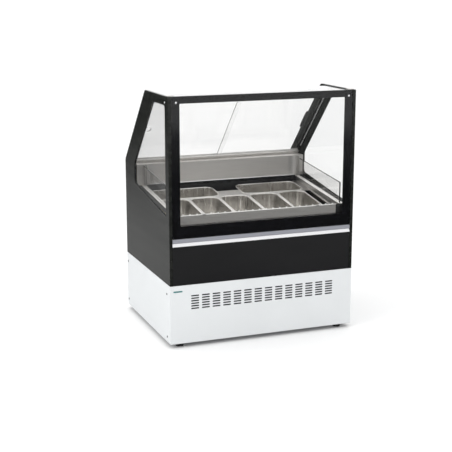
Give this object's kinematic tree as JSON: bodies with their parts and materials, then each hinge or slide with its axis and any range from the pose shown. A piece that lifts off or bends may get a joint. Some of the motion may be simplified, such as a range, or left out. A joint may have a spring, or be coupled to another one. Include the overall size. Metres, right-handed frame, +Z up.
{
  "type": "ice cream dipping cabinet",
  "caption": "Glazed scooping cabinet: white base, black body, tilting front glass, sliding rear doors and lift-out pans over a cooled well.",
  "frame": {"origin": "on the floor, at the middle of the footprint", "axes": "+Z up, -Y the customer's side with the front glass, +Y the server's side, +X to the right as the customer sees it"},
  "size_m": [1, 0.762, 1.257],
  "materials": {
    "white_enamel": "smooth semi-gloss white powder coat",
    "black_panel": "glossy black laminate",
    "black_plastic": "fine moulded texture",
    "grey_plastic": "fine moulded texture",
    "stainless": "brushed stainless steel",
    "galvanised": "galvanised sheet with faint spangle",
    "aluminium": "satin anodised",
    "copper": "drawn copper tube",
    "glass": "clear tempered glass",
    "acrylic": "clear acrylic sheet",
    "foam": "rigid insulating foam",
    "lamp": "opal diffuser",
    "rubber": "moulded rubber"
  },
  "bodies": {
    "cabinet": {"base_tray": "galvanised", "condenser_fan_shroud": "galvanised", "base_front_grille": "white_enamel", "base_left_panel": "white_enamel", "base_right_panel": "white_enamel", "base_rear_panel": "white_enamel", "condenser_coil": "aluminium", "evaporator_coil": "aluminium", "bumper_profile": "aluminium", "lamp_channel": "aluminium", "door_top_track": "aluminium", "door_bottom_track": "aluminium", "door_side_channel_left": "aluminium", "door_side_channel_right": "aluminium", "compressor": "black_plastic", "air_outlet_grille": "black_plastic", "thermostat": "black_plastic", "insulated_tub": "foam", "tank_liner": "stainless", "front_lip": "stainless", "rear_worktop": "stainless", "pan_support_grid": "stainless", "glass_catch_left": "stainless", "glass_catch_right": "stainless", "front_lower_panel": "black_panel", "left_side_panel": "black_panel", "right_side_panel": "black_panel", "rear_body_panel": "black_panel", "left_side_glass": "glass", "right_side_glass": "glass", "top_glass": "glass", "side_guard_left": "acrylic", "side_guard_right": "acrylic", "lamp_tube": "lamp", "control_panel": "grey_plastic", "refrigerant_pipe": "copper"},
    "door_left": {"rear_door_left": "acrylic", "door_left_finger_ring": "acrylic"},
    "door_right": {"rear_door_right": "acrylic", "door_right_handle": "black_plastic"},
    "front_window": {"front_glass": "glass", "front_glass_frame": "black_panel"},
    "condenser_fan": {"condenser_fan": "aluminium"},
    "evaporator_fan": {"evaporator_fan": "aluminium"},
    "light_switch": {"light_switch": "black_plastic"},
    "power_switch": {"power_switch": "black_plastic"},
    "pan_1": {"pan_1": "stainless"},
    "pan_2": {"pan_2": "stainless"},
    "pan_3": {"pan_3": "stainless"},
    "pan_4": {"pan_4": "stainless"},
    "pan_5": {"pan_5": "stainless"},
    "pan_6": {"pan_6": "stainless"},
    "pan_7": {"pan_7": "stainless"},
    "thermostat_button_down": {"thermostat_button_down": "grey_plastic"},
    "thermostat_button_set": {"thermostat_button_set": "grey_plastic"},
    "thermostat_button_up": {"thermostat_button_up": "grey_plastic"},
    "foot_front_left": {"foot_front_left": "rubber"},
    "foot_front_right": {"foot_front_right": "rubber"},
    "foot_rear_left": {"foot_rear_left": "rubber"},
    "foot_rear_right": {"foot_rear_right": "rubber"}
  },
  "joints": [
    {"name": "door_left_slide", "type": "slide", "parent": "cabinet", "child": "door_left", "axis": [1, 0, 0], "range_m": [0, 0.43]},
    {"name": "door_right_slide", "type": "slide", "parent": "cabinet", "child": "door_right", "axis": [-1, 0, 0], "range_m": [0, 0.43]},
    {"name": "front_window_tilt", "type": "hinge", "parent": "cabinet", "child": "front_window", "pos_m": [0, -0.38, 0.558], "axis": [1, 0, 0], "range_deg": [0, 75]},
    {"name": "pan_1_lift", "type": "slide", "parent": "cabinet", "child": "pan_1", "axis": [0, -0.0698, 0.9976], "range_m": [0, 0.17]},
    {"name": "pan_2_lift", "type": "slide", "parent": "cabinet", "child": "pan_2", "axis": [0, -0.0698, 0.9976], "range_m": [0, 0.17]},
    {"name": "pan_3_lift", "type": "slide", "parent": "cabinet", "child": "pan_3", "axis": [0, -0.0698, 0.9976], "range_m": [0, 0.17]},
    {"name": "pan_4_lift", "type": "slide", "parent": "cabinet", "child": "pan_4", "axis": [0, -0.0698, 0.9976], "range_m": [0, 0.17]},
    {"name": "pan_5_lift", "type": "slide", "parent": "cabinet", "child": "pan_5", "axis": [0, -0.0698, 0.9976], "range_m": [0, 0.17]},
    {"name": "pan_6_lift", "type": "slide", "parent": "cabinet", "child": "pan_6", "axis": [0, -0.0698, 0.9976], "range_m": [0, 0.17]},
    {"name": "pan_7_lift", "type": "slide", "parent": "cabinet", "child": "pan_7", "axis": [0, -0.0698, 0.9976], "range_m": [0, 0.17]},
    {"name": "condenser_fan_spin", "type": "hinge", "parent": "cabinet", "child": "condenser_fan", "pos_m": [-0.195, -0.273, 0.188], "axis": [0, 1, 0], "continuous": true},
    {"name": "evaporator_fan_spin", "type": "hinge", "parent": "cabinet", "child": "evaporator_fan", "pos_m": [-0.09, 0.108, 0.452], "axis": [0, 1, 0], "continuous": true},
    {"name": "light_switch_rock", "type": "hinge", "parent": "cabinet", "child": "light_switch", "pos_m": [0.33, 0.3758, 0.775], "axis": [1, 0, 0], "range_deg": [-16, 0]},
    {"name": "power_switch_rock", "type": "hinge", "parent": "cabinet", "child": "power_switch", "pos_m": [0.385, 0.3758, 0.775], "axis": [1, 0, 0], "range_deg": [-16, 0]},
    {"name": "thermostat_button_down_press", "type": "slide", "parent": "cabinet", "child": "thermostat_button_down", "axis": [0, -1, 0], "range_m": [0, 0.0012], "stiffness_N_per_m": 300, "springref_m": -0.001},
    {"name": "thermostat_button_set_press", "type": "slide", "parent": "cabinet", "child": "thermostat_button_set", "axis": [0, -1, 0], "range_m": [0, 0.0012], "stiffness_N_per_m": 300, "springref_m": -0.001},
    {"name": "thermostat_button_up_press", "type": "slide", "parent": "cabinet", "child": "thermostat_button_up", "axis": [0, -1, 0], "range_m": [0, 0.0012], "stiffness_N_per_m": 300, "springref_m": -0.001},
    {"name": "foot_front_left_turn", "type": "hinge", "parent": "cabinet", "child": "foot_front_left", "pos_m": [-0.44, -0.34, 0.01], "axis": [0, 0, 1], "continuous": true},
    {"name": "foot_front_right_turn", "type": "hinge", "parent": "cabinet", "child": "foot_front_right", "pos_m": [0.44, -0.34, 0.01], "axis": [0, 0, 1], "continuous": true},
    {"name": "foot_rear_left_turn", "type": "hinge", "parent": "cabinet", "child": "foot_rear_left", "pos_m": [-0.44, 0.34, 0.01], "axis": [0, 0, 1], "continuous": true},
    {"name": "foot_rear_right_turn", "type": "hinge", "parent": "cabinet", "child": "foot_rear_right", "pos_m": [0.44, 0.34, 0.01], "axis": [0, 0, 1], "continuous": true}
  ]
}
